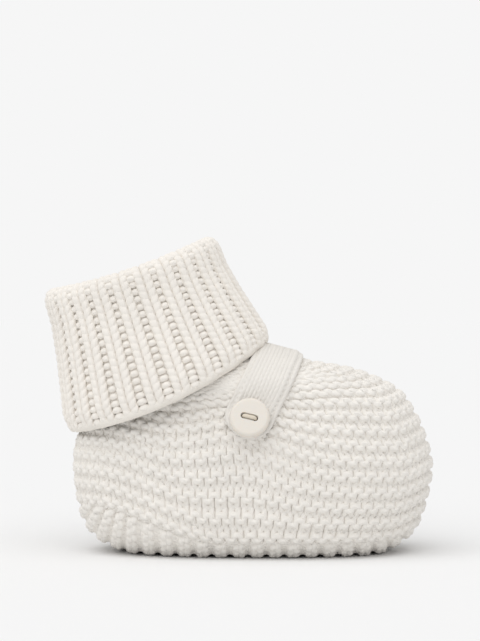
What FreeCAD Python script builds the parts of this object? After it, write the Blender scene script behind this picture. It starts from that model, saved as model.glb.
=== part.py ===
import FreeCAD, Part
import Sketcher
import math
import os
from FreeCAD import Placement, Rotation, Vector

# A knitted baby bootie: a garter-stitch foot, a ribbed ankle whose upper half is turned down
# as a cuff, and an instep strap held by a two-hole button.
# Frame: +X towards the toe, -Y the side with the button, +Z up, origin on the floor at the
# middle of the object's box. Millimetres and degrees.

doc = FreeCAD.newDocument("bootie")
sheet = doc.addObject("Spreadsheet::Sheet", "sizes")

SIZES = [
    # foot: its three main sizes, and the places along it that follow them
    ("foot_length", 100.8, "heel to toe at the widest level"),
    ("foot_width", 56.0, "widest, across the ball of the foot"),
    ("instep_height", 53.6, "top of the instep above the floor"),
    ("heel_back", "=foot_length * 0.4613", "how far the heel reaches behind the origin"),
    ("heel_narrowing", 0.065, "share by which the heel end is narrower and the toe wider"),
    ("upper_wall", 2.6, "thickness of the knitted upper"),
    ("sole_thickness", 3.6, "thickness of the sole under the foot"),
    ("seam_band", 1.2, "height of the linking seams"),
    ("seam_heel_level", "=instep_height * 0.2687", "height of the sole seam at the heel"),
    ("seam_front_level", "=instep_height * 0.0896", "height of the sole seam from mid-foot forward"),
    ("seam_toe_level", "=instep_height * 0.1493", "height of the sole seam round the toe"),
    ("seam_start_x", "=-foot_length * 0.3671", "where the sole seam starts to fall"),
    ("seam_end_x", "=-foot_length * 0.0694", "where the sole seam levels out"),
    ("seam_toe_x", "=foot_length * 0.3770", "where the sole seam starts to rise to the toe"),
    ("heel_seam_width", 1.6, "width of the joining seam up the heel"),
    # ankle and cuff, along the leaning ankle axis
    ("ankle_lean", 18.5, "angle by which the ankle leans back"),
    ("ankle_shift", "=-foot_length * 0.0377", "ankle centre along the forward axis"),
    ("ankle_length", "=foot_length * 0.4980", "ankle opening, outside, back to front"),
    ("ankle_back", "=instep_height * 0.7751", "height of the back edge of the ankle opening"),
    ("ankle_level", "=(ankle_back + (ankle_length / 2 - ankle_shift) * sin(ankle_lean)) / cos(ankle_lean)",
     "where the foot ends and the rib starts, along the ankle axis"),
    ("ankle_width", "=foot_width * 0.75", "ankle opening, outside, side to side"),
    ("rib_wall", 1.9, "thickness of the rib"),
    ("cuff_gap", 0.5, "clearance between the two layers of rib"),
    ("hem_clearance", 0.6, "gap between the cuff and the fabric that it lies on"),
    ("cuff_wall", 2.3, "thickness of the turned-down rib"),
    ("cuff_rise", 32.7, "fold line above the end of the foot, along the ankle axis"),
    ("cuff_drop", 4.6, "hem below the end of the foot, at its mean"),
    ("cuff_top_level", "=ankle_level + cuff_rise", "fold line along the ankle axis"),
    ("cuff_hem_level", "=ankle_level - cuff_drop", "hem along the ankle axis, at its mean"),
    ("cuff_top_length", "=ankle_length * 1.0398", "cuff at the fold, back to front"),
    ("cuff_top_width", "=ankle_width * 1.0714", "cuff at the fold, side to side"),
    ("cuff_hem_length", "=ankle_length * 1.2430", "cuff near the hem, back to front"),
    ("cuff_hem_width", "=ankle_width * 1.3095", "cuff near the hem, side to side"),
    ("hem_tilt", 6.1, "tilt of the hem against the fold"),
    ("hem_bow", 3.8, "how far the hem hangs lower at the sides"),
    ("fold_dip", 2.2, "how far the fold sits lower at the sides"),
    ("fold_height", 3.4, "height of the solid fold"),
    # strap and button
    ("strap_width", 12.3, "width of the instep strap"),
    ("strap_thickness", 1.8, "thickness of the instep strap"),
    ("strap_lean", 26.5, "angle of the strap from upright, in side view"),
    ("button_x", "=foot_length * 0.0298", "button centre, forward"),
    ("button_z", "=instep_height * 0.6950", "button centre, up"),
    ("strap_tail", 5.4, "how far the strap's round end reaches past the button centre"),
    ("button_diameter", 10.7, "17 ligne button"),
    ("button_thickness", 2.5, "thickness of the button"),
    ("rim_round", 0.9, "rounding of the button's edges"),
    ("hole_diameter", 1.4, "thread holes in the button"),
    ("hole_spacing", 3.2, "distance between the two holes"),
    ("groove_width", "=hole_diameter + 0.3", "groove that joins the holes, across"),
    ("groove_depth", 0.6, "groove that joins the holes, down from the face"),
    ("hole_turn", 16.0, "turn of the line through the holes, in side view"),
    ("button_shank", 0.4, "gap between strap and button, filled by thread"),
    ("thread_diameter", 1.0, "sewing yarn, doubled"),
    ("knot_diameter", 2.6, "knot inside the upper"),
    ("stitch_length", 4.0, "length of one stitch at the far end of the strap"),
    ("stitch_gap", 3.0, "distance between the two stitches"),
    ("yarn_clearance", 0.1, "how much wider than the yarn its holes are"),
]

for line, (alias, value, note) in enumerate(SIZES, start=1):
    sheet.set("A%d" % line, alias)
    sheet.setAlias("B%d" % line, alias)
    sheet.set("B%d" % line, str(value))
    sheet.set("C%d" % line, note)
doc.recompute()


def size(alias):
    """The value of one named cell."""
    return float(getattr(sheet, alias))


# ---------------------------------------------------------------- outline of the foot
# One row per level, from the floor to the ankle: where the toe end and the heel end of the
# level lie, as shares of foot length (from the heel) and instep height, then the share of the
# half width, the extra narrowing towards the heel, and the squareness of the outline.
LEVELS = [
    # toe x,  toe z, heel x, heel z, width, narrowing, squareness
    (0.870, 0.000, 0.134, 0.000, 0.68, 0.00, 2.5),
    (0.934, 0.075, 0.060, 0.075, 0.88, 0.00, 2.5),
    (0.973, 0.196, 0.019, 0.196, 0.955, 0.00, 2.5),
    (1.000, 0.429, 0.000, 0.420, 0.972, 0.00, 2.5),
    (0.983, 0.597, 0.004, 0.555, 0.957, 0.01, 2.5),
    (0.950, 0.737, 0.020, 0.636, 0.905, 0.03, 2.6),
    (0.900, 0.856, 0.033, 0.680, 0.835, 0.05, 2.8),
    (0.789, 0.950, 0.035, 0.715, 0.805, 0.04, 2.7),
    (0.650, 1.000, 0.033, 0.748, 0.771, 0.01, 2.4),
]
RING_POINTS = 40
RINGS_PER_LEVEL = 2
HOLLOW_PLACES = (2, 3, 5, 7)

LEAN = math.radians(size("ankle_lean"))
AXIS_UP = Vector(-math.sin(LEAN), 0, math.cos(LEAN))
AXIS_FORWARD = Vector(math.cos(LEAN), 0, math.sin(LEAN))


def squared(angle, squareness):
    """Radius of a unit super-ellipse at a polar angle."""
    c = abs(math.cos(angle)) ** squareness
    s = abs(math.sin(angle)) ** squareness
    return (c + s) ** (-1.0 / squareness)


def foot_level(row):
    """Middle, half vector, half width, narrowing and squareness of one level of the foot."""
    toe_x, toe_z, heel_x, heel_z, width, narrowing, squareness = row
    length = size("foot_length")
    height = size("instep_height")
    toe = Vector(length * toe_x - size("heel_back"), 0, height * toe_z)
    heel = Vector(length * heel_x - size("heel_back"), 0, height * heel_z)
    return [(toe + heel) * 0.5, (toe - heel) * 0.5, size("foot_width") / 2 * width,
            size("heel_narrowing") + narrowing, squareness]


def ankle_ring(rise):
    """The ankle opening as a level, moved up its axis by rise."""
    middle = AXIS_FORWARD * size("ankle_shift") + AXIS_UP * (size("ankle_level") + rise)
    return [middle, AXIS_FORWARD * (size("ankle_length") / 2), size("ankle_width") / 2, 0.0, 2.1]


def blend_rows(rows, place):
    """Catmull-Rom value between the rows of a table, at a place counted in rows."""
    last = len(rows) - 1
    low = min(max(int(math.floor(place)), 0), last - 1)
    t = place - low
    picks = [rows[min(max(low + k, 0), last)] for k in (-1, 0, 1, 2)]
    weights = (
        0.5 * (-t + 2 * t ** 2 - t ** 3),
        0.5 * (2 - 5 * t ** 2 + 3 * t ** 3),
        0.5 * (t + 4 * t ** 2 - 3 * t ** 3),
        0.5 * (-t ** 2 + t ** 3),
    )
    return [sum((p[i] * w for p, w in zip(picks[1:], weights[1:])), picks[0][i] * weights[0])
            for i in range(len(rows[0]))]


FOOT_ROWS = [foot_level(row) for row in LEVELS] + [ankle_ring(0.0)]
ANKLE_PLACE = len(FOOT_ROWS) - 1


def foot_point(angle, place, outward=0.0):
    """Point of the foot's skin. Angle 0 is the toe, 180 degrees the heel; outward offsets it."""
    middle, half, width, narrowing, squareness = blend_rows(FOOT_ROWS, place)
    reach = squared(angle, squareness)
    across = width * (1 + narrowing * math.cos(angle)) * math.sin(angle) * reach
    point = middle + half * (math.cos(angle) * reach) + Vector(0, across, 0)
    if outward:
        point = point + foot_normal(angle, place) * outward
    return point


def foot_normal(angle, place):
    """Outward unit normal of the foot's skin."""
    step = 0.02
    low = max(place - step, 0)
    high = min(place + step, ANKLE_PLACE)
    along = foot_point(angle + step, place) - foot_point(angle - step, place)
    up = foot_point(angle, high) - foot_point(angle, low)
    return along.cross(up).normalize()


def closed_wire(points):
    """One smooth closed curve through the points."""
    curve = Part.BSplineCurve()
    count = len(points)
    steps = [i / count for i in range(count + 1)]
    curve.interpolate(Points=points, PeriodicFlag=True, Parameters=steps)
    return Part.Wire([curve.toShape()])


def ring_angles():
    return [2 * math.pi * i / RING_POINTS for i in range(RING_POINTS)]


def ankle_tube_ring(outward, rise):
    """A ring of the ankle opening, offset outward and moved up the ankle axis."""
    middle, half, width, _, squareness = ankle_ring(rise)
    forward = AXIS_FORWARD * (half.Length + outward)
    points = []
    for angle in ring_angles():
        reach = squared(angle, squareness)
        across = Vector(0, (width + outward) * math.sin(angle) * reach, 0)
        points.append(middle + forward * (math.cos(angle) * reach) + across)
    return closed_wire(points)


def foot_wire(place, outward, level=None):
    """One ring of the foot's skin, offset outward, and laid flat when a level is given."""
    points = [foot_point(angle, place, outward) for angle in ring_angles()]
    if level is not None:
        points = [Vector(p.x, p.y, level) for p in points]
    return closed_wire(points)


def last_solid(outward):
    """The foot's shape as one closed solid, offset outward by a distance."""
    wires = [foot_wire(0.0, outward, level=0.0)]
    wires += [foot_wire(index / RINGS_PER_LEVEL, outward)
              for index in range(1, ANKLE_PLACE * RINGS_PER_LEVEL)]
    wires.append(ankle_tube_ring(outward, 0.0))
    return Part.makeLoft(wires, True, False)


def hollow_solid(overshoot):
    """The space inside the foot, from the top of the sole to a little past the ankle."""
    inward = -size("upper_wall")
    wires = [foot_wire(1.0, inward * 1.5, level=size("sole_thickness"))]
    wires += [foot_wire(place, inward) for place in HOLLOW_PLACES]
    wires.append(ankle_tube_ring(inward, 0.0))
    wires.append(ankle_tube_ring(inward, overshoot))
    return Part.makeLoft(wires, True, False)


def seam_region(level_shift):
    """Everything above the sole seam, moved up by level_shift, as one block."""
    wide = size("foot_width")
    far = size("foot_length")
    high = size("cuff_top_level") * 2
    start = Vector(size("seam_start_x"), -wide, size("seam_heel_level") + level_shift)
    end = Vector(size("seam_end_x"), -wide, size("seam_front_level") + level_shift)
    run = end.x - start.x
    curve = Part.BezierCurve()
    curve.setPoles([start, start + Vector(run * 0.45, 0, -(start.z - end.z) * 0.45),
                    end - Vector(run * 0.45, 0, 0), end])
    rise = Vector(size("seam_toe_x"), -wide, end.z)
    tip = Vector(size("foot_length") - size("heel_back"), -wide, size("seam_toe_level") + level_shift)
    corners = [rise, tip, Vector(far, -wide, tip.z), Vector(far, -wide, high), Vector(-far, -wide, high),
               Vector(-far, -wide, start.z)]
    edges = [curve.toShape(), Part.makeLine(end, corners[0])]
    edges += [Part.makeLine(a, b) for a, b in zip(corners, corners[1:])]
    edges.append(Part.makeLine(corners[-1], start))
    return Part.Face(Part.Wire(edges)).extrude(Vector(0, 2 * wide, 0))


# ---------------------------------------------------------------- outline of the cuff
# Shares from hem to fold: place along the cuff, and how much of the flare it has there.
CUFF_FLARE = [(0.00, 0.72), (0.06, 0.93), (0.16, 1.00), (0.36, 0.70), (0.60, 0.34), (0.86, 0.04)]
FOLD_INSETS = [(0.93, 0.5), (0.975, 1.5), (1.00, 2.6)]


def cuff_half_sizes(flare):
    top = Vector(size("cuff_top_length") / 2, size("cuff_top_width") / 2, 0)
    hem = Vector(size("cuff_hem_length") / 2, size("cuff_hem_width") / 2, 0)
    return top + (hem - top) * flare


def hem_level(angle):
    tilt = math.tan(math.radians(size("hem_tilt"))) * size("cuff_hem_length") / 2
    return size("cuff_hem_level") + tilt * math.cos(angle) - size("hem_bow") * math.sin(angle) ** 2


def fold_level(angle):
    return size("cuff_top_level") - size("fold_dip") * math.sin(angle) ** 2


def cuff_ring(half, level_of):
    """A ring about the ankle axis whose level depends on the angle."""
    points = []
    for angle in ring_angles():
        reach = squared(angle, 2.15)
        forward = AXIS_FORWARD * (size("ankle_shift") + half.x * math.cos(angle) * reach)
        points.append(forward + AXIS_UP * level_of(angle) + Vector(0, half.y * math.sin(angle) * reach, 0))
    return closed_wire(points)


def cuff_level(share, shift=0.0):
    """Level function at a share of the way from hem to fold."""
    return lambda angle: hem_level(angle) * (1 - share) + fold_level(angle) * share + shift


def inset(half, distance):
    return half - Vector(distance, distance, 0)


def wall_between(wires):
    """A closed wall whose section runs through the rings in turn and back to the first."""
    wall = Part.makeLoft(wires, True, True, True)
    return wall if wall.ShapeType == "Solid" else Part.makeSolid(wall)


def throat_half():
    """Half sizes of the open way through the fold and down inside the standing rib."""
    return inset(cuff_half_sizes(0.0), size("cuff_wall") + size("cuff_gap") + size("rib_wall"))


def cuff_skirt(grow):
    """Rings up the outside and the bore of the turned-down layer, grown by a distance."""
    outside = []
    bore = []
    for share, flare in CUFF_FLARE:
        level = cuff_level(share, -grow if share == 0 else 0.0)
        outside.append(cuff_ring(inset(cuff_half_sizes(flare), -grow), level))
        bore.append(cuff_ring(inset(cuff_half_sizes(flare), size("cuff_wall") + grow), level))
    return outside, bore


def cuff_solid():
    """The turned-down layer: up the outside, over the fold, and back down inside."""
    wall = size("cuff_wall")
    top = cuff_half_sizes(0.0)
    under_fold = cuff_level(1.0, -size("fold_height"))
    outside, bore = cuff_skirt(0.0)
    crest = [cuff_ring(inset(top, back), cuff_level(share)) for share, back in FOLD_INSETS]
    lip = [cuff_ring(throat_half(), cuff_level(0.975)), cuff_ring(throat_half(), under_fold),
           cuff_ring(inset(top, wall), under_fold)]
    return wall_between(outside + crest + lip + bore[::-1])


def cuff_keep_out():
    """The room that the skirt of the cuff needs, with its clearance."""
    outside, bore = cuff_skirt(size("hem_clearance"))
    return wall_between(outside + bore[::-1])


def rib_solid():
    """The standing rib, from the linking seam to just under the fold."""
    low = size("ankle_level") + size("seam_band")
    high = cuff_level(1.0, -size("fold_height") - size("cuff_gap"))
    foot_half = Vector(size("ankle_length") / 2, size("ankle_width") / 2, 0)
    top_half = inset(cuff_half_sizes(0.0), size("cuff_wall") + size("cuff_gap"))
    return wall_between([
        cuff_ring(foot_half, lambda angle: low),
        cuff_ring(top_half, high),
        cuff_ring(throat_half(), high),
        cuff_ring(inset(foot_half, size("rib_wall")), lambda angle: low),
    ])


# ---------------------------------------------------------------- helpers for the document
def keep(label, shape):
    """A knitted piece, whose outline is a set of rings, as a document object."""
    item = doc.addObject("Part::Feature", label)
    item.Label = label
    item.Shape = shape
    item.Placement = shape.Placement
    return item


def largest(shape):
    """The largest solid of a boolean's result."""
    return max(shape.Solids, key=lambda solid: solid.Volume)


# ---------------------------------------------------------------- foot
outer = last_solid(0.0)
hollow = hollow_solid(8.0)
shell = outer.cut(hollow)
above_seam = seam_region(size("seam_band") / 2)
above_sole = seam_region(-size("seam_band") / 2)

sole_shape = largest(shell.cut(above_sole))
seam_shape = largest(shell.cut(above_seam).common(above_sole))
upper_shape = largest(shell.common(above_seam))

slot_corner = Vector(-size("foot_length"), -size("heel_seam_width") / 2, 0)
heel_slot = Part.makeBox(size("foot_length") - size("heel_back") / 2, size("heel_seam_width"),
                         size("cuff_top_level"), slot_corner)
upper_shape = largest(upper_shape.cut(cuff_keep_out()))
heel_seam_shape = largest(upper_shape.common(heel_slot))
upper_shape = largest(upper_shape.cut(heel_slot))

# ---------------------------------------------------------------- ankle and cuff
link_outside = Part.makeLoft([ankle_tube_ring(0.0, 0.0),
                              ankle_tube_ring(0.0, size("seam_band"))], True, False)
link_inside = Part.makeLoft([ankle_tube_ring(-size("rib_wall"), -2.0),
                             ankle_tube_ring(-size("rib_wall"), size("seam_band") + 2.0)], True, False)
cuff_seam_shape = link_outside.cut(link_inside)

rib_shape = rib_solid()
cuff_shape = cuff_solid()
back_slot = Part.makeBox(size("foot_length"), size("heel_seam_width"), size("cuff_top_level") * 2,
                         slot_corner - Vector(size("heel_back") * 0.7, 0, 0))
cuff_back_seam_shape = largest(cuff_shape.common(back_slot))
cuff_shape = largest(cuff_shape.cut(back_slot))


# ---------------------------------------------------------------- strap and button
def find_on_side(x, z):
    """Angle and place on the button's side of the foot for a point given in side view."""
    angle = -math.pi / 2
    place = 4.0
    for _ in range(60):
        point = foot_point(angle, place)
        angle += 0.6 * (x - point.x) / (size("foot_length") / 2)
        place += 0.6 * (z - point.z) / (size("instep_height") / 9)
        place = min(max(place, 0.5), ANKLE_PLACE - 0.5)
    return angle, place


STRAP = math.radians(size("strap_lean"))
STRAP_UP = Vector(math.sin(STRAP), 0, math.cos(STRAP))
STRAP_SIDE = Vector(math.cos(STRAP), 0, -math.sin(STRAP))
BUTTON_SIDE_VIEW = Vector(size("button_x"), 0, size("button_z"))

half_strap = size("strap_width") / 2
strap_low = BUTTON_SIDE_VIEW - STRAP_UP * (size("strap_tail") - half_strap)
strap_high = BUTTON_SIDE_VIEW + STRAP_UP * size("instep_height")
to_far_side = Vector(0, 2 * size("foot_width"), 0)
near = Vector(0, -size("foot_width"), 0)
round_end = Part.Arc(strap_low - STRAP_SIDE * half_strap + near, strap_low - STRAP_UP * half_strap + near,
                     strap_low + STRAP_SIDE * half_strap + near)
strap_outline = Part.Wire([
    round_end.toShape(),
    Part.makeLine(strap_low + STRAP_SIDE * half_strap + near, strap_high + STRAP_SIDE * half_strap + near),
    Part.makeLine(strap_high + STRAP_SIDE * half_strap + near, strap_high - STRAP_SIDE * half_strap + near),
    Part.makeLine(strap_high - STRAP_SIDE * half_strap + near, strap_low - STRAP_SIDE * half_strap + near),
])
strap_prism = Part.Face(strap_outline).extrude(to_far_side)
strap_shape = last_solid(size("strap_thickness")).common(strap_prism)
strap_shape = largest(strap_shape.cut(outer).cut(cuff_keep_out()))

# The button sits square to the strap, which follows the foot's skin.
angle, place = find_on_side(size("button_x"), size("button_z"))
button_out = foot_normal(angle, place)
strap_face = foot_point(angle, place, size("strap_thickness"))
turn = Rotation(Vector(0, 0, 1), button_out)
flat_x = turn.multVec(Vector(1, 0, 0))
wanted = Vector(math.cos(math.radians(size("hole_turn"))), 0, -math.sin(math.radians(size("hole_turn"))))
wanted = (wanted - button_out * wanted.dot(button_out)).normalize()
spin = Rotation(flat_x, wanted)
button_rotation = spin.multiply(turn)
button_place = Placement(strap_face + button_out * size("button_shank"), button_rotation)


def constrain(sketch, expression, *where):
    """Add a size constraint to a sketch and bind it to the sheet."""
    value = sketch.evalExpression(expression)
    index = sketch.addConstraint(Sketcher.Constraint(*where, getattr(value, "Value", value)))
    sketch.setExpression("Constraints[%d]" % index, expression)


def origin_plane(body, role):
    return [item for item in body.Origin.OriginFeatures if item.Role == role][0]


def polygon_sketch(body, name, role, corners):
    """A sketch on one of the body's own planes, holding a closed chain of lines."""
    sketch = body.newObject("Sketcher::SketchObject", name)
    sketch.AttachmentSupport = [(origin_plane(body, role), "")]
    sketch.MapMode = "FlatFace"
    count = len(corners)
    for index in range(count):
        sketch.addGeometry(Part.LineSegment(corners[index], corners[(index + 1) % count]))
    for index in range(count):
        sketch.addConstraint(Sketcher.Constraint("Coincident", index, 2, (index + 1) % count, 1))
    return sketch


# Half section of the button, turned about its axis.
button = doc.addObject("PartDesign::Body", "button")
button.Label = "button"
radius = size("button_diameter") / 2
thick = size("button_thickness")
floor = thick - size("groove_depth")
section = polygon_sketch(button, "button_section", "XZ_Plane", [
    Vector(0, 0, 0), Vector(radius, 0, 0), Vector(radius, thick, 0), Vector(0, thick, 0)])
section.addConstraint(Sketcher.Constraint("Coincident", 0, 1, -1, 1))
for edge in (0, 2):
    section.addConstraint(Sketcher.Constraint("Horizontal", edge))
for edge in (1, 3):
    section.addConstraint(Sketcher.Constraint("Vertical", edge))
constrain(section, "sizes.button_diameter / 2", "DistanceX", 0, 1, 0, 2)
constrain(section, "sizes.button_thickness", "DistanceY", 1, 1, 1, 2)
turned = button.newObject("PartDesign::Revolution", "button_turned")
turned.Profile = section
turned.ReferenceAxis = (section, ["V_Axis"])
turned.Angle = 360.0
doc.recompute()
turned_volume = turned.Shape.Volume

# A groove with round ends joins the holes, and the thread lies in it.
groove = button.newObject("Sketcher::SketchObject", "button_groove")
groove.AttachmentSupport = [(origin_plane(button, "XY_Plane"), "")]
groove.MapMode = "FlatFace"
groove.setExpression("AttachmentOffset.Base.z", "sizes.button_thickness")
reach = size("hole_spacing") / 2
half_groove = size("groove_width") / 2
up = Vector(0, 0, 1)
quarter = math.pi / 2
groove.addGeometry(Part.ArcOfCircle(Part.Circle(Vector(reach, 0, 0), up, half_groove), -quarter, quarter))
groove.addGeometry(Part.ArcOfCircle(Part.Circle(Vector(-reach, 0, 0), up, half_groove), quarter, 3 * quarter))
groove.addGeometry(Part.LineSegment(Vector(reach, half_groove, 0), Vector(-reach, half_groove, 0)))
groove.addGeometry(Part.LineSegment(Vector(-reach, -half_groove, 0), Vector(reach, -half_groove, 0)))
for first, first_end, second, second_end in ((0, 2, 2, 1), (2, 2, 1, 1), (1, 2, 3, 1), (3, 2, 0, 1)):
    groove.addConstraint(Sketcher.Constraint("Tangent", first, first_end, second, second_end))
for end in (0, 1):
    groove.addConstraint(Sketcher.Constraint("PointOnObject", end, 3, -1))
groove.addConstraint(Sketcher.Constraint("Equal", 0, 1))
constrain(groove, "sizes.groove_width / 2", "Radius", 0)
constrain(groove, "sizes.hole_spacing / 2", "DistanceX", -1, 1, 0, 3)
constrain(groove, "sizes.hole_spacing / 2", "DistanceX", 1, 3, -1, 1)
grooved = button.newObject("PartDesign::Pocket", "button_grooved")
grooved.Profile = groove
grooved.setExpression("Length", "sizes.groove_depth")
doc.recompute()
grooved_volume = grooved.Shape.Volume
if not grooved_volume < turned_volume:
    raise RuntimeError("the groove does not cut the button")

holes = button.newObject("Sketcher::SketchObject", "button_holes")
holes.AttachmentSupport = [(origin_plane(button, "XY_Plane"), "")]
holes.MapMode = "FlatFace"
for index, side in enumerate((-1, 1)):
    middle = Vector(side * size("hole_spacing") / 2, 0, 0)
    holes.addGeometry(Part.Circle(middle, Vector(0, 0, 1), size("hole_diameter") / 2))
    holes.addConstraint(Sketcher.Constraint("PointOnObject", index, 3, -1))
    constrain(holes, "sizes.hole_diameter / 2", "Radius", index)
constrain(holes, "sizes.hole_spacing / 2", "DistanceX", 0, 3, -1, 1)
constrain(holes, "sizes.hole_spacing / 2", "DistanceX", -1, 1, 1, 3)
drilled = button.newObject("PartDesign::Pocket", "button_drilled")
drilled.Profile = holes
drilled.Type = "ThroughAll"
drilled.Reversed = True
doc.recompute()
if not drilled.Shape.Volume < grooved_volume:
    raise RuntimeError("the holes do not cut the button")

rims = ["Edge%d" % (index + 1) for index, edge in enumerate(drilled.Shape.Edges)
        if hasattr(edge.Curve, "Radius") and abs(edge.Curve.Radius - radius) < 1e-6
        and abs(edge.BoundBox.ZLength) < 1e-6]
rounded = button.newObject("PartDesign::Fillet", "button_rounded")
rounded.Base = (drilled, rims)
rounded.setExpression("Radius", "min(sizes.rim_round; sizes.button_thickness * 0.45)")
button.Tip = rounded
button.Placement = button_place
doc.recompute()


def yarn_loop(place_at, wide, low, high, thick):
    """A closed round loop of yarn with rounded corners, standing in the XZ plane of a placement."""
    bend = thick * 0.8
    half = wide / 2
    c = bend * math.sqrt(0.5)
    ends = [(half, low + bend), (half, high - bend), (half - bend, high), (bend - half, high),
            (-half, high - bend), (-half, low + bend), (bend - half, low), (half - bend, low)]
    mids = [(half - bend + c, high - bend + c), (bend - half - c, high - bend + c),
            (bend - half - c, low + bend - c), (half - bend + c, low + bend - c)]
    points = [Vector(x, 0, z) for x, z in ends]
    edges = []
    for corner in range(4):
        leave = points[2 * corner + 1]
        enter = points[(2 * corner + 2) % 8]
        edges.append(Part.makeLine(points[2 * corner], leave))
        middle = Vector(mids[corner][0], 0, mids[corner][1])
        edges.append(Part.Arc(leave, middle, enter).toShape())
    path = Part.Wire(edges)
    ring = Part.Wire([Part.makeCircle(thick / 2, points[0], Vector(0, 0, 1))])
    shell = path.makePipeShell([ring], True, False)
    shell.Placement = place_at
    return shell


# The doubled yarn goes down through the two holes, and is knotted inside the upper.
fabric_depth = size("button_shank") + size("strap_thickness") + size("upper_wall")
loop_low = -fabric_depth - size("thread_diameter") / 2
loop_high = floor + size("thread_diameter") / 2
knot = doc.addObject("Part::Sphere", "thread_knot")
knot.setExpression("Radius", "sizes.knot_diameter / 2")
knot_down = Vector(0, 0, loop_low - size("knot_diameter") * 0.3)
knot.Placement = button_place.multiply(Placement(knot_down, Rotation()))
loop = keep("thread_loop", yarn_loop(button_place, size("hole_spacing"), loop_low, loop_high,
                                     size("thread_diameter")))
thread = doc.addObject("Part::Fuse", "button_thread")
thread.Label = "button_thread"
thread.Base = loop
thread.Tool = knot
doc.recompute()
thread_path = yarn_loop(button_place, size("hole_spacing"), loop_low, loop_high,
                        size("thread_diameter") + size("yarn_clearance"))

# The strap's far end is sewn down with two stitches, each through strap and upper.
far_angle = -angle
stitch_out = foot_normal(far_angle, place)
stitch_turn = Rotation(Vector(0, 0, 1), stitch_out)
stitch_place = Placement(foot_point(far_angle, place), stitch_turn)
stitch_low = -size("upper_wall") - size("thread_diameter") / 2
stitch_high = size("strap_thickness") + size("thread_diameter") / 2
stitch_loops = []
stitch_paths = []
for side in (-1, 1):
    at = stitch_place.multiply(Placement(Vector(0, side * size("stitch_gap") / 2, 0), Rotation()))
    stitch_loops.append(yarn_loop(at, size("stitch_length"), stitch_low, stitch_high,
                                  size("thread_diameter")))
    stitch_paths.append(yarn_loop(at, size("stitch_length"), stitch_low, stitch_high,
                                  size("thread_diameter") + size("yarn_clearance")))

# Yarn passes through the strap and the upper in holes that just clear it.
for yarn in [thread_path] + stitch_paths:
    strap_shape = largest(strap_shape.cut(yarn))
    upper_shape = largest(upper_shape.cut(yarn))

knitted = [
    keep("foot_upper", upper_shape),
    keep("sole", sole_shape),
    keep("sole_seam", seam_shape),
    keep("heel_seam", heel_seam_shape),
    keep("cuff_seam", cuff_seam_shape),
    keep("ankle_rib", rib_shape),
    keep("cuff_turnover", cuff_shape),
    keep("cuff_back_seam", cuff_back_seam_shape),
    keep("instep_strap", strap_shape),
    keep("strap_end_stitches", Part.makeCompound(stitch_loops)),
]
doc.recompute()

pieces = knitted + [button, thread]
for item in doc.Objects:
    if "Invalid" in item.State or "Error" in item.State:
        raise RuntimeError(item.Name + " failed")
for item in pieces:
    if item.Shape.isNull() or not item.Shape.isValid():
        raise RuntimeError(item.Label + " is not a valid shape")

os.makedirs("parts", exist_ok=True)
for item in pieces:
    item.Shape.exportStep("parts/" + item.Label + ".step")
    box = item.Shape.BoundBox
    print("%-20s %9.1f mm3  x %.1f..%.1f  y %.1f..%.1f  z %.1f..%.1f" % (
        item.Label, item.Shape.Volume, box.XMin, box.XMax, box.YMin, box.YMax, box.ZMin, box.ZMax))
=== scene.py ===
import math

import bpy
import numpy as np
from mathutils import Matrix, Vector
from mathutils.bvhtree import BVHTree


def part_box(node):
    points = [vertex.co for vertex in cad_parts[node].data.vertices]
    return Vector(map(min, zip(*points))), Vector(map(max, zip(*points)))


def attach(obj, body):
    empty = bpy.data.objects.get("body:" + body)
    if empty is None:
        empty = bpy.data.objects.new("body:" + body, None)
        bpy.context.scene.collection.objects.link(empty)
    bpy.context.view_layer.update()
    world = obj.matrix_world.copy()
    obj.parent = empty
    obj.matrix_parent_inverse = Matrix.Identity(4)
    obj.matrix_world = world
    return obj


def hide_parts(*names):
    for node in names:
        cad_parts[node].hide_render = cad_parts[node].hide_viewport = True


bl_info = {
    "name": "Knitted Baby Bootie",
    "version": (1, 0, 0),
    "blender": (4, 5, 0),
    "location": "3D View > Sidebar > Bootie",
    "description": "Knits a baby bootie stitch by stitch over its CAD frame",
    "category": "Object",
}

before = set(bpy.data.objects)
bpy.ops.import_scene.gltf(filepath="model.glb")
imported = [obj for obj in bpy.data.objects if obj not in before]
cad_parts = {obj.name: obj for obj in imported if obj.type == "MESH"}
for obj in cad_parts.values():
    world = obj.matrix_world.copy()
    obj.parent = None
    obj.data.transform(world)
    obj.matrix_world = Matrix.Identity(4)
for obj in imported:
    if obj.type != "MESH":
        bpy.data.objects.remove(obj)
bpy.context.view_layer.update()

MM = 0.001
SHADE = 0.955


def sizes():
    return bpy.context.scene.bootie_sizes


def colours():
    return bpy.context.scene.bootie_colours


def mm(length):
    """A length property, held in metres, as millimetres."""
    return length / MM


def box_mm(node):
    """Lowest and highest corner of a CAD node, in millimetres."""
    low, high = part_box(node)
    return np.array(low) / MM, np.array(high) / MM


# ---- shape of the foot
# Everything here is in millimetres. The driving sizes come from the upper's own CAD box, which
# the outline's swell between two levels makes slightly longer than the foot's nominal length.
HEEL_SWELL = 0.1
BOTH_SWELLS = 0.3
WIDTH_SHARE = 1.019
INSTEP_SHARE = 0.532
UPPER_LOW, UPPER_HIGH = box_mm("foot_upper")
HEEL_X = UPPER_LOW[0] + HEEL_SWELL
FOOT_LENGTH = UPPER_HIGH[0] - UPPER_LOW[0] - BOTH_SWELLS
FOOT_WIDTH = (UPPER_HIGH[1] - UPPER_LOW[1]) * WIDTH_SHARE
INSTEP_HEIGHT = INSTEP_SHARE * FOOT_LENGTH
HEEL_NARROWING = 0.065

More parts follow.
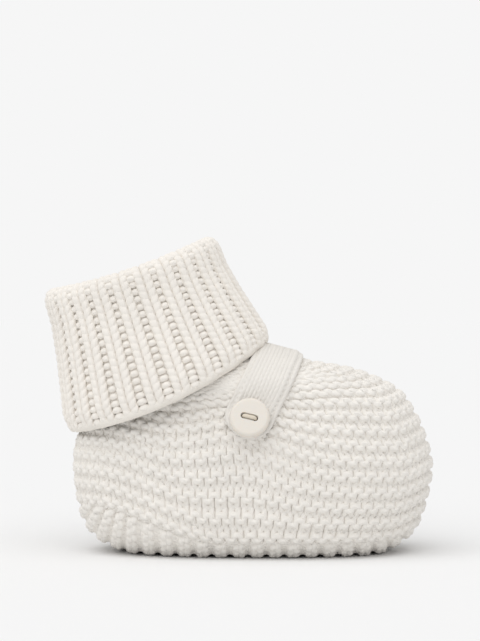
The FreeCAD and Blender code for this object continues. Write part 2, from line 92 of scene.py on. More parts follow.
# Levels of the foot from the floor to the ankle: toe x and z, heel x and z, width, extra
# narrowing and squareness, as shares of foot length, instep height and half width.
LEVELS = np.array([
    (0.870, 0.000, 0.134, 0.000, 0.68, 0.00, 2.5),
    (0.934, 0.075, 0.060, 0.075, 0.88, 0.00, 2.5),
    (0.973, 0.196, 0.019, 0.196, 0.955, 0.00, 2.5),
    (1.000, 0.429, 0.000, 0.420, 0.972, 0.00, 2.5),
    (0.983, 0.597, 0.004, 0.555, 0.957, 0.01, 2.5),
    (0.950, 0.737, 0.020, 0.636, 0.905, 0.03, 2.6),
    (0.900, 0.856, 0.033, 0.680, 0.835, 0.05, 2.8),
    (0.789, 0.950, 0.035, 0.715, 0.805, 0.04, 2.7),
    (0.650, 1.000, 0.033, 0.748, 0.771, 0.01, 2.4),
])

LEAN = math.radians(18.5)
AXIS_UP = np.array([-math.sin(LEAN), 0.0, math.cos(LEAN)])
AXIS_FORWARD = np.array([math.cos(LEAN), 0.0, math.sin(LEAN)])
ANKLE_SHIFT = -3.8
ANKLE_LEVEL = 53.5
ANKLE_HALF = np.array([25.1, 21.0])
ANKLE_SQUARENESS = 2.1


def foot_rows():
    """One row per level: middle x, z, half vector x, z, half width, narrowing, squareness."""
    toe_x, toe_z, heel_x, heel_z, width, narrowing, squareness = LEVELS.T
    toe_x = toe_x * FOOT_LENGTH + HEEL_X
    heel_x = heel_x * FOOT_LENGTH + HEEL_X
    toe_z = toe_z * INSTEP_HEIGHT
    heel_z = heel_z * INSTEP_HEIGHT
    rows = np.stack([(toe_x + heel_x) / 2, (toe_z + heel_z) / 2, (toe_x - heel_x) / 2,
                     (toe_z - heel_z) / 2, width * FOOT_WIDTH / 2, narrowing + HEEL_NARROWING,
                     squareness], axis=1)
    middle = AXIS_FORWARD * ANKLE_SHIFT + AXIS_UP * ANKLE_LEVEL
    ankle = [middle[0], middle[2], AXIS_FORWARD[0] * ANKLE_HALF[0], AXIS_FORWARD[2] * ANKLE_HALF[0],
             ANKLE_HALF[1], 0.0, ANKLE_SQUARENESS]
    return np.vstack([rows, ankle])


FOOT_ROWS = foot_rows()
ANKLE_PLACE = len(FOOT_ROWS) - 1


def squared(angle, squareness):
    """Radius of a unit super-ellipse at a polar angle."""
    total = np.abs(np.cos(angle)) ** squareness + np.abs(np.sin(angle)) ** squareness
    return total ** (-1.0 / squareness)


def foot_point(angle, place):
    """Points of the foot's skin. Angle 0 is the toe; place counts levels up from the floor."""
    angle, place = np.broadcast_arrays(np.asarray(angle, float), np.asarray(place, float))
    low = np.clip(np.floor(place).astype(int), 0, ANKLE_PLACE - 1)
    t = (place - low)[..., None]
    weights = (0.5 * (-t + 2 * t ** 2 - t ** 3), 0.5 * (2 - 5 * t ** 2 + 3 * t ** 3),
               0.5 * (t + 4 * t ** 2 - 3 * t ** 3), 0.5 * (-t ** 2 + t ** 3))
    row = sum(FOOT_ROWS[np.clip(low + k - 1, 0, ANKLE_PLACE)] * w for k, w in enumerate(weights))
    reach = squared(angle, row[..., 6])
    along = np.cos(angle) * reach
    across = row[..., 4] * (1 + row[..., 5] * np.cos(angle)) * np.sin(angle) * reach
    return np.stack([row[..., 0] + row[..., 2] * along, across,
                     row[..., 1] + row[..., 3] * along], axis=-1)


def unit(vectors):
    return vectors / np.maximum(np.linalg.norm(vectors, axis=-1, keepdims=True), 1e-9)


def foot_normal(angle, place, turn=0.01, rise=0.03):
    """Outward normals of the foot's skin, from points a small turn and rise apart."""
    low = np.clip(np.asarray(place) - rise, 0, ANKLE_PLACE)
    high = np.clip(np.asarray(place) + rise, 0, ANKLE_PLACE)
    around = foot_point(angle + turn, place) - foot_point(angle - turn, place)
    up = foot_point(angle, high) - foot_point(angle, low)
    return unit(np.cross(around, up))


def smooth(value, start, end):
    """Smooth step from 0 at start to 1 at end."""
    t = np.clip((value - start) / (end - start), 0, 1)
    return t * t * (3 - 2 * t)


def running_length(points):
    """Distance of each point along the line through them."""
    steps = np.linalg.norm(np.diff(points, axis=0), axis=1)
    return np.concatenate([[0], np.cumsum(steps)])


def between(at, places, values):
    """Linear interpolation of three-part vectors."""
    return np.stack([np.interp(at, places, values[:, k]) for k in range(3)], axis=1)


def softened(values, width):
    """Running mean of three-part vectors over an odd width, with the end ones repeated."""
    window = np.ones(width) / width
    return np.stack([np.convolve(np.pad(values[:, k], width // 2, mode="edge"), window, "valid")
                     for k in range(3)], axis=1)


# ---- fabric: a surface with rows
class Fabric:
    """A surface laid out in rows and columns, so that yarn can be placed on it by stitch.

    points and normals are arrays [row, column, 3]; row 0 is at row_start and rows are row_step
    apart. Columns run from 0 to 1, and join up when closed.
    """

    def __init__(self, points, row_start, row_step, closed, normals=None):
        self.points = points
        self.row_start = row_start
        self.row_step = row_step
        self.closed = closed
        if normals is None:
            if closed:
                across = np.roll(points, -1, 1) - np.roll(points, 1, 1)
            else:
                across = np.gradient(points, axis=1)
            normals = unit(np.cross(across, np.gradient(points, axis=0)))
        self.normals = normals

    def pick(self, array, row, column):
        """Bilinear value of an array at fractional rows and columns."""
        rows, columns = array.shape[:2]
        r = np.clip((row - self.row_start) / self.row_step, 0, rows - 1.0001)
        i = r.astype(int)
        fr = (r - i)[..., None]
        if self.closed:
            c = np.mod(column, 1.0) * columns
            j = c.astype(int) % columns
            j2 = (j + 1) % columns
        else:
            c = np.clip(column, 0, 1) * (columns - 1.0001)
            j = c.astype(int)
            j2 = j + 1
        fc = (c - np.floor(c))[..., None]
        top = array[i, j] * (1 - fc) + array[i, j2] * fc
        bottom = array[i + 1, j] * (1 - fc) + array[i + 1, j2] * fc
        return top * (1 - fr) + bottom * fr

    def at(self, row, column, depth):
        """Points and normals at rows and columns, lifted along the normal by depth."""
        normal = unit(self.pick(self.normals, row, column))
        return self.pick(self.points, row, column) + normal * np.asarray(depth)[..., None], normal

    def column_at_distance(self, row, first=0.0, last=1.0, samples=800):
        """The row's length, and a function from share of length to column."""
        columns = np.linspace(first, last, samples)
        along = running_length(self.pick(self.points, np.full(samples, row), columns))
        return along[-1], lambda share: np.interp(share, along / along[-1], columns)


# ---- yarn: tubes along paths
class Yarn:
    """Collects tubes and writes them as one mesh, with a map along the yarn and one for baking."""

    def __init__(self, sides=8):
        self.sides = sides
        self.verts = []
        self.faces = []
        self.along = []
        self.around = []
        self.count = 0

    def add(self, path, normals, radius, closed=False, flat=1.0):
        """Sweeps a round section along a path. flat scales it along the normal."""
        if not closed:
            path, normals, radius = self.round_ends(path, normals, radius)
        n = len(path)
        if closed:
            tangent = unit(np.roll(path, -1, 0) - np.roll(path, 1, 0))
        else:
            tangent = unit(np.gradient(path, axis=0))
        side = unit(np.cross(tangent, normals))
        up = np.cross(side, tangent)
        turn = np.arange(self.sides) * 2 * math.pi / self.sides
        radius = np.broadcast_to(np.asarray(radius, float), (n,))[:, None, None]
        ring = (side[:, None] * np.cos(turn)[None, :, None]
                + up[:, None] * np.sin(turn)[None, :, None] * flat) * radius
        self.verts.append((path[:, None] + ring).reshape(-1, 3))
        segments = n if closed else n - 1
        i = np.arange(segments)[:, None]
        j = np.arange(self.sides)[None, :]
        i2 = (i + 1) % n
        j2 = (j + 1) % self.sides
        quads = np.stack([i * self.sides + j, i * self.sides + j2, i2 * self.sides + j2,
                          i2 * self.sides + j], axis=-1).reshape(-1, 4) + self.count
        self.faces.append(quads)
        lengths = np.linalg.norm(np.diff(path, axis=0, append=path[:1]), axis=1)
        start = np.concatenate([[0], np.cumsum(lengths)])
        u0 = np.broadcast_to(start[:segments][:, None], (segments, self.sides))
        u1 = np.broadcast_to(start[1:segments + 1][:, None], (segments, self.sides))
        v0 = np.broadcast_to(j / self.sides, (segments, self.sides))
        v1 = v0 + 1 / self.sides
        self.along.append(np.stack([u0, u0, u1, u1], axis=-1).reshape(-1, 4))
        self.around.append(np.stack([v0, v1, v1, v0], axis=-1).reshape(-1, 4))
        self.count += n * self.sides

    @staticmethod
    def round_ends(path, normals, radius, shoulder=0.66, tip=0.04):
        """Adds rings at both ends of a path, so that the yarn closes in a rounded tip."""
        radius = np.broadcast_to(np.asarray(radius, float), (len(path),))
        out = []
        for end, inner in ((0, 1), (-1, -2)):
            way = unit(path[end] - path[inner]) * radius[end]
            out.append((path[end] + way * 0.75, path[end] + way))
        path = np.vstack([out[0][1], out[0][0], path, out[1][0], out[1][1]])
        normals = np.vstack([normals[:1], normals[:1], normals, normals[-1:], normals[-1:]])
        radius = np.concatenate([[radius[0] * tip, radius[0] * shoulder], radius,
                                 [radius[-1] * shoulder, radius[-1] * tip]])
        return path, normals, radius

    def bake_map(self, segments, slender=8.0, used=0.84):
        """Lays the tubes' segments out in rows of a square, none overlapping.

        A segment's cell is slender times as high as wide, and its faces fill the used share.
        """
        per_row = max(1, int(math.sqrt(segments * slender)))
        rows = int(math.ceil(segments / per_row))
        index = np.arange(segments)
        column = index % per_row
        row = index // per_row
        width = 1.0 / per_row
        height = 1.0 / rows
        j = np.arange(self.sides)
        margin = height * (1 - used) / 2
        cell = height * used / self.sides
        u0 = np.broadcast_to((column * width)[:, None], (segments, self.sides))
        v0 = (row * height)[:, None] + margin + cell * j[None, :]
        u = np.stack([u0, u0, u0 + width, u0 + width], axis=-1).reshape(-1, 4)
        v = np.stack([v0, v0 + cell, v0 + cell, v0], axis=-1).reshape(-1, 4)
        return np.stack([u, v], axis=-1)

    def build(self, name, material):
        verts = np.concatenate(self.verts) * MM
        faces = np.concatenate(self.faces)
        piece = new_mesh(name, verts, faces, material)
        add_map(piece, "Yarn", np.stack([np.concatenate(self.along), np.concatenate(self.around)], axis=-1))
        add_map(piece, "OFBake", self.bake_map(len(faces) // self.sides))
        return piece


def new_mesh(name, verts, faces, material):
    """A smooth-shaded mesh object made from arrays, in metres."""
    mesh = bpy.data.meshes.new(name)
    faces = np.asarray(faces)
    corners = faces.shape[1]
    mesh.vertices.add(len(verts))
    mesh.vertices.foreach_set("co", np.ascontiguousarray(verts, np.float32).ravel())
    mesh.loops.add(faces.size)
    mesh.loops.foreach_set("vertex_index", faces.astype(np.int32).ravel())
    mesh.polygons.add(len(faces))
    mesh.polygons.foreach_set("loop_start", np.arange(0, faces.size, corners, dtype=np.int32))
    mesh.polygons.foreach_set("use_smooth", np.ones(len(faces), bool))
    mesh.update(calc_edges=True)
    mesh.validate()
    mesh.materials.append(material)
    piece = bpy.data.objects.new(name, mesh)
    bpy.context.scene.collection.objects.link(piece)
    return piece


def add_map(piece, name, corners):
    """Adds a UV map from an array [face, corner, 2]."""
    layer = piece.data.uv_layers.new(name=name)
    layer.data.foreach_set("uv", np.ascontiguousarray(corners, np.float32).ravel())


# Places on a sheet's baking map: the two halves from left to right, and three bands upwards.
MAP_LEFT, MAP_RIGHT, MAP_WIDE = 0.01, 0.51, 0.47
MAP_FACES, MAP_ROW_ENDS, MAP_COLUMN_ENDS = (0.01, 0.86), (0.89, 0.04), (0.95, 0.04)


def sheet_between(name, outer, inner, closed, material):
    """A thin closed sheet between two grids of points [row, column, 3], in millimetres."""
    rows, columns = outer.shape[:2]
    verts = np.concatenate([outer.reshape(-1, 3), inner.reshape(-1, 3)]) * MM
    back = rows * columns
    spans = columns if closed else columns - 1
    faces = []
    maps = []

    def patch(a, b, c, d, u, v, left, band):
        """One block of faces, with its place on the baking map."""
        low, high = band
        faces.append(np.stack([a, b, c, d], axis=-1).reshape(-1, 4))
        corner_u = np.stack([u, u + 1, u + 1, u], axis=-1) / max(u.max() + 1, 1)
        corner_v = np.stack([v, v, v + 1, v + 1], axis=-1) / max(v.max() + 1, 1)
        corner = np.stack([left + corner_u * MAP_WIDE, low + corner_v * high], axis=-1)
        maps.append(corner.reshape(-1, 4, 2))

    i, j = np.meshgrid(np.arange(rows - 1), np.arange(spans), indexing="ij")
    here = i * columns + j
    beside = i * columns + (j + 1) % columns
    patch(here, beside, beside + columns, here + columns, j, i, MAP_LEFT, MAP_FACES)
    patch(here + back, here + columns + back, beside + columns + back, beside + back, i, j,
          MAP_RIGHT, MAP_FACES)
    j = np.arange(spans)
    for row, left in ((0, MAP_LEFT), (rows - 1, MAP_RIGHT)):
        near = row * columns + j
        far = row * columns + (j + 1) % columns
        if row == 0:
            near, far = far, near
        patch(near, far, far + back, near + back, j, j * 0, left, MAP_ROW_ENDS)
    if not closed:
        i = np.arange(rows - 1)
        for column, left in ((0, MAP_LEFT), (columns - 1, MAP_RIGHT)):
            low = i * columns + column
            high = low + columns
            if column:
                low, high = high, low
            patch(low, high, high + back, low + back, i, i * 0, left, MAP_COLUMN_ENDS)
    piece = new_mesh(name, verts, np.concatenate(faces), material)
    add_map(piece, "OFBake", np.concatenate(maps))
    return piece


# ---- stitches
STITCH_POINTS = 12
LOOP_BLUNTNESS = 1.6
LOOP_SWAY = 0.1
LOOP_OVERLAP = 0.155
LOOP_REACH = 0.04
END_TUCK = 1.6
END_SHARE = 0.03


def garter_course(count, foot, head, foot_depth, head_depth):
    """One course of loops along a row: share of the row, height and depth of each point."""
    t = np.arange(count * STITCH_POINTS) * 2 * math.pi / STITCH_POINTS
    share = (t / (2 * math.pi) + LOOP_SWAY * np.sin(2 * t)) / count
    lift = 0.5 - 0.5 * np.tanh(LOOP_BLUNTNESS * np.cos(t)) / math.tanh(LOOP_BLUNTNESS)
    height = foot + (head - foot) * lift
    depth = foot_depth + (head_depth - foot_depth) * lift
    return share, height, depth


def knit_garter(yarn, fabric, ridge, first, last, closed, radius, wale, relief):
    """The two courses that make one garter ridge: bumps at the front, legs in the grooves."""
    length, column = fabric.column_at_distance(ridge + 0.5, first, last)
    stitches = max(3, int(round(length / wale)))
    front = -radius * 0.95
    back = front - relief
    for course in ((-LOOP_REACH, 0.5 + LOOP_OVERLAP, back, front),
                   (0.5 - LOOP_OVERLAP, 1 + LOOP_REACH, front, back)):
        share, height, depth = garter_course(stitches, *course)
        if not closed:
            inside = np.minimum(smooth(share, 0, END_SHARE), smooth(-share, -1, END_SHARE - 1))
            depth = depth - END_TUCK * (1 - inside)
        path, normals = fabric.at(ridge + height, column(share % 1.0 if closed else share), depth)
        yarn.add(path, normals, radius, closed=closed)


def lay_cord(yarn, fabric, row, depth, swing, turns, radius):
    """A two-ply cord laid round a closed row. swing is how far the plies move in row and depth."""
    share = np.linspace(0, 1, 900, endpoint=False)
    for phase in (0.0, math.pi):
        turn = share * 2 * math.pi * turns + phase
        path, normals = fabric.at(row + swing[0] * np.sin(turn), share,
                                  depth + swing[1] * np.cos(turn))
        yarn.add(path, normals, radius, closed=True)


def seam_leaves(yarn, fabric, rows, column, half_width, depth, radius):
    """A column of small V stitches, as where two edges are sewn together."""
    t = np.linspace(0, 1, 9)
    bulge = np.sin(math.pi * t)
    for row, next_row in zip(rows, rows[1:]):
        rise = (next_row - row) * 1.35
        for side in (-1, 1):
            across = side * half_width * (0.15 + 0.85 * t)
            path, normals = fabric.at(row + rise * t, column + across, depth + 0.25 * bulge)
            yarn.add(path, normals, radius * (0.55 + 0.45 * bulge))


def backing(name, fabric, rows, depth_out, depth_in, material, columns=240):
    """A thin knit backing under the stitches that closes the gaps between them."""
    row = np.asarray(rows)[:, None]
    column = np.linspace(0, 1, columns, endpoint=not fabric.closed)[None, :]
    row, column = np.broadcast_arrays(row, column)
    outer, _ = fabric.at(row, column, np.full(row.shape, depth_out))
    inner, _ = fabric.at(row, column, np.full(row.shape, depth_in))
    return sheet_between(name, outer, inner, fabric.closed, material)


def finish_piece(piece, body, slot, *nodes):
    """Ties a piece to its CAD body and hides the CAD nodes that it stands for. The slot argument is not
    used.
    """
    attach(piece, body)
    if nodes:
        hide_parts(*nodes)


# ---- materials
def srgb(code):
    """Linear colour from an sRGB hex code."""
    parts = [int(code[i:i + 2], 16) / 255 for i in (1, 3, 5)]
    return tuple(c / 12.92 if c <= 0.04045 else ((c + 0.055) / 1.055) ** 2.4 for c in parts)


def add_node(tree, kind, settings=None, inputs=None, links=None):
    """Adds a node, sets its properties and inputs, and links other nodes' outputs into it."""
    node = tree.nodes.new(kind)
    for key, value in (settings or {}).items():
        setattr(node, key, value)
    for key, value in (inputs or {}).items():
        node.inputs[key].default_value = value
    for key, (source, output) in (links or {}).items():
        tree.links.new(source.outputs[output], node.inputs[key])
    return node


def cotton_yarn(name, colour, ply_pitch, ply_depth, fuzz):
    """Combed cotton yarn, spun, plied and left matte.

    The plies turn round the yarn once in ply_pitch millimetres and stand ply_depth proud. Loose
    fibres give a soft edge and a faint sheen, and the dye takes slightly unevenly.
    """
    material = bpy.data.materials.new(name)
    material.use_nodes = True
    tree = material.node_tree
    shader = tree.nodes["Principled BSDF"]
    shader.inputs["Roughness"].default_value = 0.95
    shader.inputs["Specular IOR Level"].default_value = 0.22
    shader.inputs["Sheen Weight"].default_value = 0.25
    shader.inputs["Sheen Roughness"].default_value = 0.6
    shader.inputs["Sheen Tint"].default_value = srgb("#FBF8F2") + (1.0,)
    place = add_node(tree, "ShaderNodeTexCoord")
    tone = add_node(tree, "ShaderNodeTexNoise", inputs={"Scale": 90.0, "Detail": 3.0, "Roughness": 0.6},
                    links={"Vector": (place, "Object")})
    ramp = add_node(tree, "ShaderNodeValToRGB", links={"Fac": (tone, "Fac")})
    ramp.color_ramp.elements[0].position = 0.32
    ramp.color_ramp.elements[0].color = tuple(c * SHADE for c in colour) + (1.0,)
    ramp.color_ramp.elements[1].position = 0.68
    ramp.color_ramp.elements[1].color = tuple(colour) + (1.0,)
    tree.links.new(ramp.outputs["Color"], shader.inputs["Base Color"])
    along = add_node(tree, "ShaderNodeUVMap", {"uv_map": "Yarn"})
    split = add_node(tree, "ShaderNodeSeparateXYZ", links={"Vector": (along, "UV")})
    turns = add_node(tree, "ShaderNodeMath", {"operation": "MULTIPLY"}, {1: 1.0 / ply_pitch},
                     {0: (split, "X")})
    plies = add_node(tree, "ShaderNodeMath", {"operation": "MULTIPLY"}, {1: 4.0}, {0: (split, "Y")})
    both = add_node(tree, "ShaderNodeMath", {"operation": "ADD"}, links={0: (turns, 0), 1: (plies, 0)})
    angle = add_node(tree, "ShaderNodeMath", {"operation": "MULTIPLY"}, {1: 2 * math.pi}, {0: (both, 0)})
    wave = add_node(tree, "ShaderNodeMath", {"operation": "SINE"}, links={0: (angle, 0)})
    twist = add_node(tree, "ShaderNodeBump", inputs={"Strength": 1.0, "Distance": ply_depth * MM},
                     links={"Height": (wave, 0)})
    fibres = add_node(tree, "ShaderNodeTexNoise", inputs={"Scale": 2600.0, "Detail": 4.0, "Roughness": 0.7},
                      links={"Vector": (place, "Object")})
    hair = add_node(tree, "ShaderNodeBump", inputs={"Strength": 1.0, "Distance": fuzz * MM},
                    links={"Height": (fibres, "Fac"), "Normal": (twist, "Normal")})
    tree.links.new(hair.outputs["Normal"], shader.inputs["Normal"])
    return material


def moulded_resin(name, colour):
    """Cast polyester resin, tumbled to a soft gloss and slightly translucent at the edges."""
    material = bpy.data.materials.new(name)
    material.use_nodes = True
    shader = material.node_tree.nodes["Principled BSDF"]
    shader.inputs["Base Color"].default_value = tuple(colour) + (1.0,)
    shader.inputs["Roughness"].default_value = 0.42
    shader.inputs["IOR"].default_value = 1.52
    shader.inputs["Subsurface Weight"].default_value = 0.2
    shader.inputs["Subsurface Scale"].default_value = 1.2 * MM
    shader.inputs["Subsurface Radius"].default_value = (1.0, 0.8, 0.6)
    return material


def named(name, make, *values):
    """The material of that name, made once."""
    return bpy.data.materials.get(name) or make(name, *values)


def garter_cotton():
    return named("cream_combed_cotton_garter", cotton_yarn, colours().garter, 2.4, 0.05, 0.03)


def rib_cotton():
    return named("cream_combed_cotton_rib", cotton_yarn, colours().rib, 2.6, 0.04, 0.03)


def hem_cotton_with_painted_shade():
    """The rolled hem shows the smooth back of the knit, without the turns of the plies. Its colour is a
    darker copy of the rib yarn: painted shade standing in for the self-shadowing of stitches that this
    smooth tube lacks.
    """
    return named("cream_combed_cotton_rolled_hem", cotton_yarn, colours().hem, 2.6, 0.0, 0.05)


def strap_cotton():
    return named("pale_mercerised_cotton_strap", cotton_yarn, colours().strap, 2.0, 0.02, 0.02)


def sewing_cotton():
    return named("beige_cotton_sewing_thread", cotton_yarn, colours().thread, 0.9, 0.05, 0.01)


# ---- upper: garter rings round the foot
RELIEF = 1.05
SEAM_HEEL = 14.4
SEAM_FRONT = 4.8
SEAM_TOE_RISE = 3.2
MID_STRETCH, MID_X, MID_REACH = 1.45, -1.0, 15.0
HEEL_TIGHTENING = 0.15
TOP_RIDGE, TOP_RIDGE_BACK = 4.2, 3.4
SEAM_RIDGE = 0.3
SHORTEST_RIDGE = 0.02


def seam_level(x):
    """Height of the seam between sole and upper, high at the heel and slightly up at the toe."""
    heel = 1 - smooth(x, -40.0, -4.0)
    return SEAM_FRONT + (SEAM_HEEL - SEAM_FRONT) * heel + SEAM_TOE_RISE * smooth(x, 38.0, 54.0)


def ridge_pitch(x, z):
    """Distance between garter ridges, wider where the fabric stretches at mid-foot."""
    stretch = MID_STRETCH * np.exp(-((x - MID_X) / MID_REACH) ** 2)
    low = mm(sizes().garter_ridge) + stretch - HEEL_TIGHTENING * (1 - smooth(x, -40, -25))
    high = TOP_RIDGE - (TOP_RIDGE - TOP_RIDGE_BACK) * (1 - smooth(x, 12, 30))
    mix = smooth(z, 29.0, 36.0)
    return low * (1 - mix) + high * mix


def upper_fabric():
    """The foot's skin laid out in ridges, from SEAM_RIDGE at the sole seam up to the ankle."""
    angles = np.linspace(0, 2 * math.pi, 1200, endpoint=False)
    places = np.linspace(0, ANKLE_PLACE, 241)
    grid_a, grid_p = np.meshgrid(angles, places)
    points = foot_point(grid_a, grid_p)
    steps = np.linalg.norm(np.diff(points, axis=0), axis=-1)
    middle = (points[1:] + points[:-1]) / 2
    ridges = np.concatenate([np.zeros((1, len(angles))),
                             np.cumsum(steps / ridge_pitch(middle[..., 0], middle[..., 2]), axis=0)])
    above = points[..., 2] - seam_level(points[..., 0])
    first = np.argmax(above > 0, axis=0)
    column = np.arange(len(angles))
    before = above[first - 1, column]
    share = before / (before - above[first, column])
    at_seam = ridges[first - 1, column] * (1 - share) + ridges[first, column] * share
    ridges = ridges - at_seam + SEAM_RIDGE
    step = 0.1
    levels = np.arange(-0.6, ridges.max() + step, step)
    place = np.stack([np.interp(levels, ridges[:, c], places) for c in column], axis=1)
    grid_a = np.broadcast_to(angles, place.shape)
    points = foot_point(grid_a, place)
    fabric = Fabric(points, levels[0], step, True, normals=foot_normal(grid_a, place))
    fabric.top = ridges[-1]
    return fabric


def ridge_span(fabric, ridge):
    """Columns that a ridge covers: all of them, or the part in front of the ankle opening."""
    covered = fabric.top >= ridge
    if covered.all():
        return 0.0, 1.0, True
    columns = len(covered)
    reach = int(np.argmin(covered[:columns // 2]))
    return -reach / columns, reach / columns, False


def make_upper():
    fabric = upper_fabric()
    total = int(math.floor(fabric.top.max()))
    yarn_radius = mm(sizes().garter_yarn) / 2
    stitch = mm(sizes().garter_stitch)
    groups = (("upper_low_rows", range(0, 4)), ("upper_side_rows", range(4, 8)),
              ("upper_top_rows", range(8, total)))
    pieces = []
    for name, ridges in groups:
        yarn = Yarn()
        for ridge in ridges:
            first, last, closed = ridge_span(fabric, ridge + 0.75)
            if last - first > SHORTEST_RIDGE:
                knit_garter(yarn, fabric, ridge, first, last, closed, yarn_radius, stitch, RELIEF)
        pieces.append(yarn.build(name, garter_cotton()))
    places = np.linspace(0.6, ANKLE_PLACE, 60)
    angles = np.linspace(0, 2 * math.pi, 240, endpoint=False)
    grid_a, grid_p = np.meshgrid(angles, places)
    skin = foot_point(grid_a, grid_p)
    normals = foot_normal(grid_a, grid_p)
    pieces.append(sheet_between("upper_backing", skin - normals * 1.75, skin - normals * 2.5, True,
                                garter_cotton()))
    for piece in pieces:
        finish_piece(piece, "foot", "knit_cream", "foot_upper")


# ---- sole: garter ridges across
SOLE_WALE = 2.9
SOLE_RELIEF = 1.15
SECTION_STEP = 0.6
SECTION_FAN = 0.55
SECTION_CENTRE = 17.0


def foot_tree():
    """The foot's skin, floor included, for finding points on it."""
    angles = np.linspace(0, 2 * math.pi, 240, endpoint=False)
    places = np.linspace(0, ANKLE_PLACE, 120)
    grid_a, grid_p = np.meshgrid(angles, places)
    points = foot_point(grid_a, grid_p)
    rows, columns = points.shape[:2]
    middle = rows * columns
    verts = np.vstack([points.reshape(-1, 3), [[points[0, :, 0].mean(), 0, 0]]])
    i, j = np.meshgrid(np.arange(rows - 1), np.arange(columns), indexing="ij")
    j2 = (j + 1) % columns
    faces = np.stack([i * columns + j, i * columns + j2, (i + 1) * columns + j2, (i + 1) * columns + j],
                     axis=-1).reshape(-1, 4).tolist()
    faces += [[k, middle, (k + 1) % columns] for k in range(columns)]
    return BVHTree.FromPolygons([Vector(v) for v in verts], faces)


def cast_line(tree, origin, ways, wanted):
    """Where rays from one point meet the skin: the wanted hits and their outward normals."""
    hits, ups = [], []
    for way in ways:
        hit, up, _, _ = tree.ray_cast(Vector(origin), Vector(way))
        if hit is not None and wanted(hit):
            hits.append(hit)
            ups.append(up if up.dot(Vector(way)) > 0 else -up)
    return np.array(hits), np.array(ups)


def sole_fabric():
    """The sole in sections across the foot, fanned round the heel and the toe."""
    tree = foot_tree()
    places = np.linspace(0, 3, 200)

    def edge(angle):
        line = foot_point(np.full(200, angle), places)
        return line[line[:, 2] <= seam_level(line[:, 0])]

    heel = edge(math.pi)[::-1]
    toe = edge(0.0)
    floor_x = np.linspace(heel[-1, 0], toe[0, 0], 200)[1:-1]
    floor = np.stack([floor_x, floor_x * 0, floor_x * 0], axis=1)
    line = np.vstack([heel, floor, toe])
    along = running_length(line)
    length = along[-1]
    stations = np.arange(0, length, SECTION_STEP)
    centre = between(stations, along, line)
    tangent = unit(np.gradient(softened(centre, 17), axis=0))
    lean = np.arctan2(tangent[:, 2], tangent[:, 0]) * SECTION_FAN
    out = np.stack([np.sin(lean), lean * 0, -np.cos(lean)], axis=1)
    turns = np.radians(np.linspace(-104, 104, 261))
    samples = 161
    grid = np.zeros((len(stations), samples, 3))
    normal = np.zeros_like(grid)
    at = np.linspace(0, 1, samples)
    for s in range(len(stations)):
        ways = [out[s] * math.cos(turn) + np.array([0, math.sin(turn), 0]) for turn in turns]
        hits, ups = cast_line(tree, centre[s] - out[s] * SECTION_CENTRE, ways,
                              lambda hit: hit.z <= seam_level(hit.x))
        share = running_length(hits)
        share /= max(share[-1], 1e-6)
        grid[s] = between(at, share, hits)
        normal[s] = between(at, share, ups)
    ridge = mm(sizes().sole_ridge)
    return Fabric(grid, 0.0, SECTION_STEP / ridge, False, normals=unit(normal)), length / ridge


def make_sole():
    fabric, total = sole_fabric()
    yarn = Yarn()
    ridges = int(total)
    start = (total - ridges) / 2
    radius = mm(sizes().sole_yarn) / 2
    for ridge in range(ridges):
        knit_garter(yarn, fabric, start + ridge, 0.0, 1.0, False, radius, SOLE_WALE, SOLE_RELIEF)
    finish_piece(yarn.build("sole_rows", garter_cotton()), "foot", "knit_cream", "sole")
    back = backing("sole_backing", fabric, np.linspace(0, total, 120), -1.9, -2.9, garter_cotton(), 90)
    finish_piece(back, "foot", "knit_cream", "sole")


# ---- seams
def make_sole_seam(fabric):
    """The yarn that links sole and upper, laid in the groove between them."""
    yarn = Yarn(6)
    lay_cord(yarn, fabric, row=0.16, depth=-1.3, swing=(0.07, 0.3), turns=90, radius=0.55)
    finish_piece(yarn.build("sole_seam_yarn", garter_cotton()), "foot", "knit_cream", "sole_seam")


def make_heel_seam(fabric):
    yarn = Yarn(6)
    top = fabric.top[len(fabric.top) // 2]
    seam_leaves(yarn, fabric, np.arange(0.35, top, 0.42), column=0.5, half_width=0.0045, depth=-0.9,
                radius=0.62)
    finish_piece(yarn.build("heel_seam_yarn", garter_cotton()), "foot", "knit_cream", "heel_seam")


# ---- cuff and standing rib
RIB_WALE = 5.0
STANDING_YARN = 1.7
STANDING_OVERLAP = 0.5
GUTTER = 0.85
HEM_THICK = 1.9
TOP_HALF = np.array([26.1, 22.5])
HEM_HALF = np.array([31.2, 27.5])
FOLD_LEVEL = 86.2
HEM_LEVEL = 48.9
HEM_TILT = math.tan(math.radians(6.1)) * HEM_HALF[0]
HEM_BOW = 3.8
FOLD_DIP = 2.2
FOLD_RADIUS = 3.3
FOLD_RISE = 4.8
TUCKED_IN = 7.0
CUFF_SQUARENESS = 2.15
# How far the outside stands between the fold's size and the hem's, from the hem up to the fold.
FLARE_AT = (0.00, 0.06, 0.16, 0.36, 0.60, 0.86, 1.00)
FLARE = (0.72, 0.93, 1.00, 0.70, 0.34, 0.04, 0.00)
RIB_ANGLES = np.linspace(0, 2 * math.pi, 1320, endpoint=False)
FOLD_LINE = FOLD_LEVEL - FOLD_DIP * np.sin(RIB_ANGLES) ** 2
HEM_LINE = HEM_LEVEL + HEM_TILT * np.cos(RIB_ANGLES) - HEM_BOW * np.sin(RIB_ANGLES) ** 2
WALL_RINGS = 60
FOLD_RINGS = 24
CUFF_ROW = 0.4


def rib_ring(half, level):
    """A ring about the ankle axis, from its two half sizes and its levels along the axis."""
    reach = squared(RIB_ANGLES, CUFF_SQUARENESS)
    forward = ANKLE_SHIFT + half[0] * np.cos(RIB_ANGLES) * reach
    across = half[1] * np.sin(RIB_ANGLES) * reach
    return (AXIS_FORWARD * forward[..., None] + AXIS_UP * level[..., None]
            + np.array([0, 1.0, 0]) * across[..., None])


